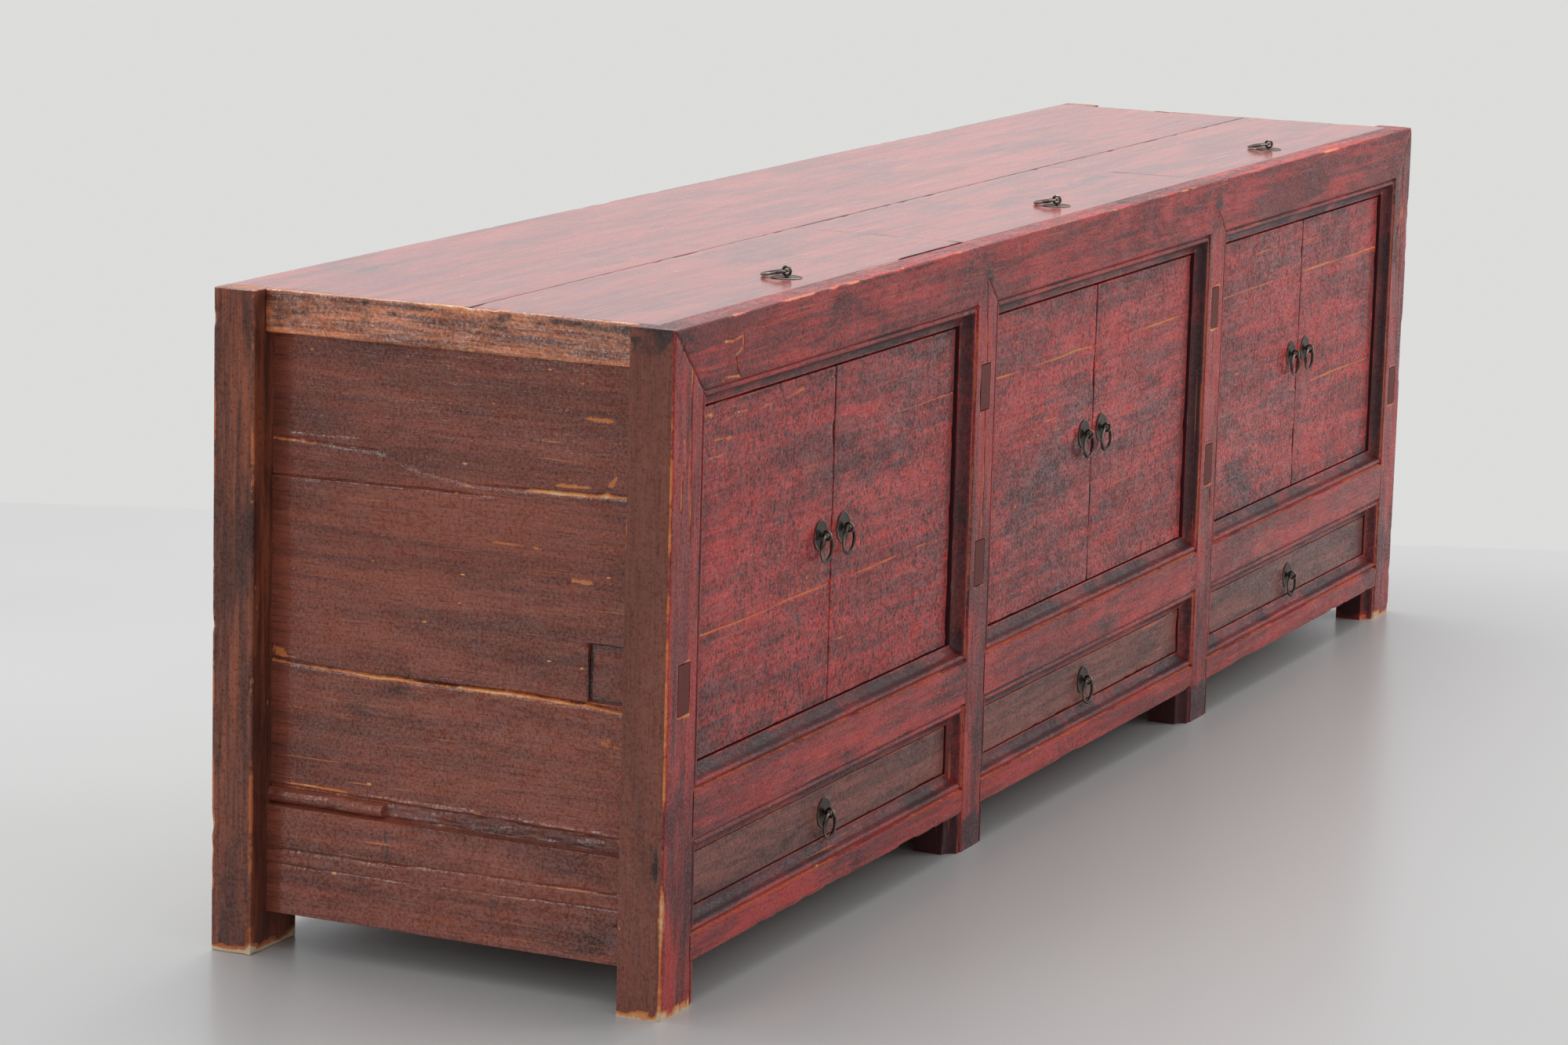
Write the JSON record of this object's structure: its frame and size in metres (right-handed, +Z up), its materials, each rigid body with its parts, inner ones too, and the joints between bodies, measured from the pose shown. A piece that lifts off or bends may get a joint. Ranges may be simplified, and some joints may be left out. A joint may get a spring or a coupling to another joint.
{
  "type": "sideboard",
  "caption": "Long low lacquered wooden sideboard with paired pivot doors, drawers below, lift-off lids in its flat top, and iron ring pulls.",
  "frame": {"origin": "on the floor under the middle of the sideboard's bounding box", "axes": "+X along the length to the right as seen from the front, +Y from the doors to the back, +Z up"},
  "size_m": [2.3, 0.51, 0.6937],
  "materials": {
    "red_lacquer": "worn red lacquer with a dark patina, satin",
    "brown_lacquer": "worn dark red-brown lacquer, semi-gloss",
    "drawer_lacquer": "dull brown lacquer",
    "top_lacquer": "rubbed red lacquer, satin, streaked along the grain",
    "bare_wood": "aged bare softwood",
    "dark_iron": "dark rubbed iron"
  },
  "bodies": {
    "carcass": {"front_top_rail": "red_lacquer", "front_post_1": "red_lacquer", "back_post_left": "brown_lacquer", "end_panel_left": "brown_lacquer", "end_rail_left": "brown_lacquer", "front_post_4": "red_lacquer", "back_post_right": "brown_lacquer", "end_panel_right": "brown_lacquer", "end_rail_right": "brown_lacquer", "front_post_2": "red_lacquer", "partition_1": "bare_wood", "front_post_3": "red_lacquer", "partition_2": "bare_wood", "cabinet_floor": "bare_wood", "drawer_deck": "bare_wood", "back_panel": "bare_wood", "lid_bearer": "bare_wood", "back_top_board": "top_lacquer", "sill_rail_left": "red_lacquer", "bottom_rail_left": "red_lacquer", "sill_rail_middle": "red_lacquer", "bottom_rail_middle": "red_lacquer", "sill_rail_right": "red_lacquer", "bottom_rail_right": "red_lacquer"},
    "door_left_a": {"door_left_a": "red_lacquer", "pull_plate_door_left_a": "dark_iron"},
    "door_left_b": {"door_left_b": "red_lacquer", "pull_plate_door_left_b": "dark_iron"},
    "door_middle_a": {"door_middle_a": "red_lacquer", "pull_plate_door_middle_a": "dark_iron"},
    "door_middle_b": {"door_middle_b": "red_lacquer", "pull_plate_door_middle_b": "dark_iron"},
    "door_right_a": {"door_right_a": "red_lacquer", "pull_plate_door_right_a": "dark_iron"},
    "door_right_b": {"door_right_b": "red_lacquer", "pull_plate_door_right_b": "dark_iron"},
    "drawer_left": {"drawer_left": "drawer_lacquer", "pull_plate_drawer_left": "dark_iron"},
    "drawer_middle": {"drawer_middle": "drawer_lacquer", "pull_plate_drawer_middle": "dark_iron"},
    "drawer_right": {"drawer_right": "drawer_lacquer", "pull_plate_drawer_right": "dark_iron"},
    "lid_left": {"lid_left": "top_lacquer", "pull_plate_lid_left": "dark_iron"},
    "lid_middle": {"lid_middle": "top_lacquer", "pull_plate_lid_middle": "dark_iron"},
    "lid_right": {"lid_right": "top_lacquer", "pull_plate_lid_right": "dark_iron"},
    "ring_door_left_a": {"pull_ring_door_left_a": "dark_iron"},
    "ring_door_left_b": {"pull_ring_door_left_b": "dark_iron"},
    "ring_door_middle_a": {"pull_ring_door_middle_a": "dark_iron"},
    "ring_door_middle_b": {"pull_ring_door_middle_b": "dark_iron"},
    "ring_door_right_a": {"pull_ring_door_right_a": "dark_iron"},
    "ring_door_right_b": {"pull_ring_door_right_b": "dark_iron"},
    "ring_drawer_left": {"pull_ring_drawer_left": "dark_iron"},
    "ring_drawer_middle": {"pull_ring_drawer_middle": "dark_iron"},
    "ring_drawer_right": {"pull_ring_drawer_right": "dark_iron"},
    "ring_lid_left": {"pull_ring_lid_left": "dark_iron"},
    "ring_lid_middle": {"pull_ring_lid_middle": "dark_iron"},
    "ring_lid_right": {"pull_ring_lid_right": "dark_iron"}
  },
  "joints": [
    {"name": "door_left_a_hinge", "type": "hinge", "parent": "carcass", "child": "door_left_a", "pos_m": [-1.0545, -0.2315, 0.417], "axis": [0, 0, -1], "range_deg": [0, 90]},
    {"name": "door_left_b_hinge", "type": "hinge", "parent": "carcass", "child": "door_left_b", "pos_m": [-0.42883, -0.2315, 0.417], "axis": [0, 0, 1], "range_deg": [0, 90]},
    {"name": "door_middle_a_hinge", "type": "hinge", "parent": "carcass", "child": "door_middle_a", "pos_m": [-0.31283, -0.2315, 0.417], "axis": [0, 0, -1], "range_deg": [0, 90]},
    {"name": "door_middle_b_hinge", "type": "hinge", "parent": "carcass", "child": "door_middle_b", "pos_m": [0.31283, -0.2315, 0.417], "axis": [0, 0, 1], "range_deg": [0, 90]},
    {"name": "door_right_a_hinge", "type": "hinge", "parent": "carcass", "child": "door_right_a", "pos_m": [0.42883, -0.2315, 0.417], "axis": [0, 0, -1], "range_deg": [0, 90]},
    {"name": "door_right_b_hinge", "type": "hinge", "parent": "carcass", "child": "door_right_b", "pos_m": [1.0545, -0.2315, 0.417], "axis": [0, 0, 1], "range_deg": [0, 90]},
    {"name": "drawer_left_slide", "type": "slide", "parent": "carcass", "child": "drawer_left", "axis": [0, -1, 0], "range_m": [0, 0.3]},
    {"name": "drawer_middle_slide", "type": "slide", "parent": "carcass", "child": "drawer_middle", "axis": [0, -1, 0], "range_m": [0, 0.3]},
    {"name": "drawer_right_slide", "type": "slide", "parent": "carcass", "child": "drawer_right", "axis": [0, -1, 0], "range_m": [0, 0.3]},
    {"name": "lid_left_lift", "type": "slide", "parent": "carcass", "child": "lid_left", "axis": [0, 0, 1], "range_m": [0, 0.15]},
    {"name": "lid_middle_lift", "type": "slide", "parent": "carcass", "child": "lid_middle", "axis": [0, 0, 1], "range_m": [0, 0.15]},
    {"name": "lid_right_lift", "type": "slide", "parent": "carcass", "child": "lid_right", "axis": [0, 0, 1], "range_m": [0, 0.15]},
    {"name": "ring_door_left_a_swing", "type": "hinge", "parent": "door_left_a", "child": "ring_door_left_a", "pos_m": [-0.76967, -0.2479, 0.4197], "axis": [-1, 0, 0], "range_deg": [-8, 165]},
    {"name": "ring_door_left_b_swing", "type": "hinge", "parent": "door_left_b", "child": "ring_door_left_b", "pos_m": [-0.71367, -0.2479, 0.4197], "axis": [-1, 0, 0], "range_deg": [-8, 165]},
    {"name": "ring_door_middle_a_swing", "type": "hinge", "parent": "door_middle_a", "child": "ring_door_middle_a", "pos_m": [-0.028, -0.2479, 0.4197], "axis": [-1, 0, 0], "range_deg": [-8, 165]},
    {"name": "ring_door_middle_b_swing", "type": "hinge", "parent": "door_middle_b", "child": "ring_door_middle_b", "pos_m": [0.028, -0.2479, 0.4197], "axis": [-1, 0, 0], "range_deg": [-8, 165]},
    {"name": "ring_door_right_a_swing", "type": "hinge", "parent": "door_right_a", "child": "ring_door_right_a", "pos_m": [0.71367, -0.2479, 0.4197], "axis": [-1, 0, 0], "range_deg": [-8, 165]},
    {"name": "ring_door_right_b_swing", "type": "hinge", "parent": "door_right_b", "child": "ring_door_right_b", "pos_m": [0.76967, -0.2479, 0.4197], "axis": [-1, 0, 0], "range_deg": [-8, 165]},
    {"name": "ring_drawer_left_swing", "type": "hinge", "parent": "drawer_left", "child": "ring_drawer_left", "pos_m": [-0.74167, -0.2479, 0.11985], "axis": [-1, 0, 0], "range_deg": [-8, 165]},
    {"name": "ring_drawer_middle_swing", "type": "hinge", "parent": "drawer_middle", "child": "ring_drawer_middle", "pos_m": [0, -0.2479, 0.11985], "axis": [-1, 0, 0], "range_deg": [-8, 165]},
    {"name": "ring_drawer_right_swing", "type": "hinge", "parent": "drawer_right", "child": "ring_drawer_right", "pos_m": [0.74167, -0.2479, 0.11985], "axis": [-1, 0, 0], "range_deg": [-8, 165]},
    {"name": "ring_lid_left_swing", "type": "hinge", "parent": "lid_left", "child": "ring_lid_left", "pos_m": [-0.75, -0.185, 0.6871], "axis": [1, 0, 0], "range_deg": [0, 159]},
    {"name": "ring_lid_middle_swing", "type": "hinge", "parent": "lid_middle", "child": "ring_lid_middle", "pos_m": [0, -0.185, 0.6871], "axis": [1, 0, 0], "range_deg": [0, 159]},
    {"name": "ring_lid_right_swing", "type": "hinge", "parent": "lid_right", "child": "ring_lid_right", "pos_m": [0.75, -0.185, 0.6871], "axis": [1, 0, 0], "range_deg": [0, 159]}
  ]
}
